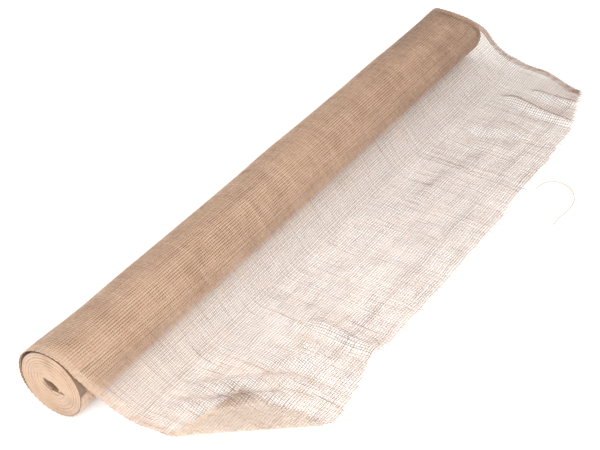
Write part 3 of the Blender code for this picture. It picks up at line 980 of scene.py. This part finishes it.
def mesh_piece(name, parts, material):
    """One mesh object from several (points, faces, tones, map) parts.

    Points that no face uses are left out. The parts share the piece's map, one above the other.
    """
    joined, faces, tones, maps = [], [], [], []
    start = 0
    for i, (part_points, part_faces, part_tones, part_map) in enumerate(parts):
        joined.append(part_points)
        faces.append(part_faces + start)
        tones.append(part_tones)
        maps.append((part_map + [0, i]) * [1, 1 / len(parts)])
        start += len(part_points)
    joined, faces = np.concatenate(joined), np.concatenate(faces)
    used, faces = np.unique(faces, return_inverse=True)
    faces = faces.reshape(-1, 4)
    mesh = quad_mesh(name, joined[used], faces)
    add_tone(mesh, np.concatenate(tones)[used])
    strips = mesh.uv_layers.new(name="OFBake")  # each yarn's own strip, for baked colour
    strips.uv.foreach_set("vector", np.concatenate(maps).astype(np.float32).ravel())
    mesh.update(calc_edges=True)
    mesh.materials.append(material)
    return link_object(name, mesh)


def there(columns, rows, axis, flap):
    """Which stretches of yarn exist in part of the grid: of its warps for axis 1, wefts for 0.

    flap picks what lies past the fold, and otherwise what doesn't. None pass the cut end.
    """
    past, margin = past_fold[columns, rows], cut_margin[columns, rows]
    ahead, behind = (slice(1, None), slice(None)), (slice(None, -1), slice(None))
    if axis == 1:
        ahead, behind = ahead[::-1], behind[::-1]
    furthest = np.maximum(past[ahead], past[behind])
    nearest = np.minimum(margin[ahead], margin[behind])
    return ((furthest > 0) == flap) & (nearest > CUT_MARGIN)


# Undyed jute, spun and woven: matt, hairy, and streaked by its fibres.
jute_yarn = yarn_material("undyed_jute_yarn", YARN_DARK, YARN_MIDDLE, YARN_LIGHT)


def woven(name, columns, rows, flap=False):
    """A stretch of the weave: the warps of these columns and the wefts of these rows.

    Each lies WEAVE_RISE above the cloth's middle at one crossing and as far below it at the next.
    Both go on to where the next stretch begins. The outermost column holds only wefts' loops.
    """
    c = slice(max(columns[0], 1), min(columns[1], len(warp_u) - 1))
    r = slice(rows[0], rows[1] + 1)
    over = parity[c, r][..., None] * WEAVE_RISE
    warps = tubes(
        points[c, r] - over * normals[c, r],
        normals[c, r],
        warp_size[c, r],
        warp_tone[c, r],
        there(c, r, 1, flap),
    )
    c, r = slice(columns[0], columns[1] + 1), slice(rows[0], rows[1])
    over = parity[c, r][..., None] * WEAVE_RISE
    wefts = tubes(
        (points[c, r] + over * normals[c, r]).transpose(1, 0, 2),
        normals[c, r].transpose(1, 0, 2),
        weft_size[r, c],
        weft_tone[r, c],
        there(c, r, 0, flap).T,
    )
    return mesh_piece(name, [warps, wefts], jute_yarn)


LEFT_EDGE = (0, SELVEDGE_YARNS + 1)
RIGHT_EDGE = (len(warp_u) - SELVEDGE_YARNS - 1, len(warp_u))
WEB = (LEFT_EDGE[1], RIGHT_EDGE[0])

turn_rows = (0, hinge_row)
splits = np.linspace(WEB[0], WEB[1], 4).astype(int)
for side, columns in (("left", LEFT_EDGE), ("right", RIGHT_EDGE)):
    selvedge = woven(f"outer_turn_{side}_edge", columns, turn_rows)
    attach(selvedge, "wrap")
    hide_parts(f"outer_turn_{side}_selvedge")
for number, name in enumerate(("left", "middle", "right")):
    columns = (int(splits[number]), int(splits[number + 1]))
    breadth = woven(f"outer_turn_{name}", columns, turn_rows)
    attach(breadth, "wrap")
    if name == "middle":
        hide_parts("outer_turn")

# --- The strip under the outer turn's left end ---
# A margin of the turn before, of the same jute hessian, that has come off the roll with the last
# turn and lines it. It is held between the two, and its inner edge lies on the wound turns.
STRIP_WIDTH = 0.042
STRIP_STEPS = 15
STRIP_OFFSET, STRIP_THICKNESS = 0.00055, 0.00020
strip_u = np.linspace(LOOP, STRIP_WIDTH, STRIP_STEPS) - half_width
strip_v = np.arange(TURN_START + 0.004, -0.002, 0.003)
middle = cloth_points(*np.meshgrid(strip_u, strip_v, indexing="ij"))
radius = np.hypot(middle[..., 1], middle[..., 2] - axis_z)
sink = smoothstep((strip_u + half_width - SELVEDGE_WIDTH) / 0.028)[:, None]
sunk = radius * (1 - sink) + (SKIN_RADIUS + STRIP_OFFSET + 0.0004) * sink
middle[..., 1] *= sunk / radius
middle[..., 2] = axis_z + (middle[..., 2] - axis_z) * sunk / radius
above = middle - STRIP_OFFSET * normals_of(middle)
below = above - STRIP_THICKNESS * normals_of(middle)
# Across the strip the points go round it, and at each of its ends they close in to one.
around = np.concatenate([above, below[::-1]])
ends = np.broadcast_to(around.mean(axis=0), around.shape)
around = np.concatenate([ends[:, :1], around, ends[:, -1:]], axis=1).transpose(1, 0, 2)
corner_rows, corner_cols = corners_of_faces(*around.shape[:2])
across_u = np.concatenate([strip_u, strip_u[::-1]])
down_v = np.concatenate([strip_v[:1], strip_v, strip_v[-1:]])
strip_map = np.stack([across_u[corner_cols % len(across_u)], down_v[corner_rows]], axis=-1)
strip = surface_piece("strip_of_the_turn_before", around, under_weave, strip_map)
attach(strip, "wrap")

# --- The drape ---
# The same jute cloth where it leaves the roll and falls to the floor. Nothing holds it but its own
# weight and the roll's.
drape_rows = (hinge_row, foot_row)
for name, columns, node, slot_name in (
    ("drape_left_edge", LEFT_EDGE, "drape_left_selvedge", "jute_selvedge"),
    ("drape_right_edge", RIGHT_EDGE, "drape_right_selvedge", "jute_selvedge"),
    ("drape_cloth", WEB, "drape", "jute_web"),
):
    drape = woven(name, columns, drape_rows)
    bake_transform(drape)
    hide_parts(node)

# --- The lap ---
# The loose end of the jute cloth, lying on the floor with a few soft creases pressed into it.
lap_rows = (foot_row, len(weft_v))
half_way = (WEB[0] + WEB[1]) // 2
for side, edge_columns, columns, node in (
    ("left", LEFT_EDGE, (WEB[0], half_way), "lap"),
    ("right", RIGHT_EDGE, (half_way, WEB[1]), None),
):
    lap_edge = woven(f"lap_{side}_edge", edge_columns, lap_rows)
    lap = woven(f"lap_{side}_half", columns, lap_rows)
    for piece, slot_name in ((lap_edge, "jute_selvedge"), (lap, "jute_web")):
        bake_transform(piece)
    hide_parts(f"lap_{side}_selvedge")
    if node:
        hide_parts(node)
    c, r = slice(*columns), slice(*lap_rows)

# --- The turned corner ---
# The lap's left corner of the same cloth, folded back over it along a slanting line. It is only
# laid there, with its underside up, and shows as a double layer.
FOLD_SPAN = 0.21  # no part of the corner lies further than this from the fold's start
fold_columns = (LEFT_EDGE[1], int(np.argmax(warp_u > fold_start[0] + FOLD_SPAN)))
for name, columns, node, slot_name in (
    ("turned_corner_cloth", fold_columns, "turned_corner", "jute_web"),
    ("turned_corner_edge", LEFT_EDGE, "turned_corner_selvedge", "jute_selvedge"),
):
    turned_piece = woven(name, columns, lap_rows, flap=True)
    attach(turned_piece, "corner")
    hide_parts(node)
c, r = slice(*fold_columns), slice(*lap_rows)

# --- The frayed ends ---
# The jute warp yarns of the lap and of the turned corner, free past the last weft. Cutting left
# nothing to hold them, so they splay, curl and end unevenly.
FRAY_POINTS = 9
LONG_SHARE, LONG_SHARE_RIGHT = 0.11, 0.25  # this share of them is long, the second near the right
RIGHT_FROM = 0.3


def frayed(name, columns, flap):
    """The free warp ends, of the lap or of the turned corner.

    Each goes on from its last crossing towards the cut, with a sideways drift that grows as the
    square of the way along, and thins to its tip. The long ones drift further and curl.
    """
    c = slice(max(columns[0], 1), min(columns[1], len(warp_u) - 1))
    past, margin = past_fold[c, foot_row:], cut_margin[c, foot_row:]
    inside = margin > CUT_MARGIN
    last = inside.shape[1] - 1 - np.argmax(inside[:, ::-1], axis=1)
    rows = np.arange(len(last))
    here = (past[rows, last] > 0) == flap
    rows, last = rows[here], last[here]
    draws = np.random.default_rng(71 + flap)
    count = (len(rows), 1)
    long_share = np.where(warp_u[c][here] > RIGHT_FROM, LONG_SHARE_RIGHT, LONG_SHARE)
    long = draws.random(count) < long_share[:, None]
    start = flat_points[c, foot_row:][rows, last]
    reach = (margin[rows, last][:, None] + 0.0035) * draws.uniform(0.5, 1.4, count)
    reach = np.where(long, reach * draws.uniform(1.3, 2.2, count), reach)
    t = np.linspace(0, 1, FRAY_POINTS)[None, :]
    sway = draws.normal(0, 0.0020, count) * np.where(long, 3.0, 1.0) * t**2
    sway = sway + draws.normal(0, 0.0006, count) * np.sin(3 * t)
    x = start[:, :1] + sway
    y = start[:, 1:2] - reach * (t - np.where(long, 0.35, 0.0) * t**3)
    z = start[:, 2:] + draws.uniform(-0.0006, 0.0045, count) * t * (1.3 - t)
    free = np.stack([x, y, np.maximum(z, 0.0004)], axis=-1)
    if flap:
        free = turned_back(free)
    up = np.broadcast_to([0.0, 0.0, 1.0], free.shape)
    size = (1.0 - 0.5 * t) * draws.uniform(0.7, 1.1, count)
    tone = 0.30 + draws.normal(0, 0.12, count) + 0 * t
    kept = np.ones((len(rows), FRAY_POINTS - 1), bool)
    return mesh_piece(name, [tubes(free, up, size, tone, kept, capped=True)], jute_yarn)


for name, columns, flap, body, node in (
    ("cut_end_yarns", (0, len(warp_u)), False, "lap", "cut_end_fringe"),
    ("turned_corner_yarns", (0, fold_columns[1]), True, "corner", "turned_corner_fringe"),
):
    fringe = frayed(name, columns, flap)
    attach(fringe, body)
    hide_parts(node)
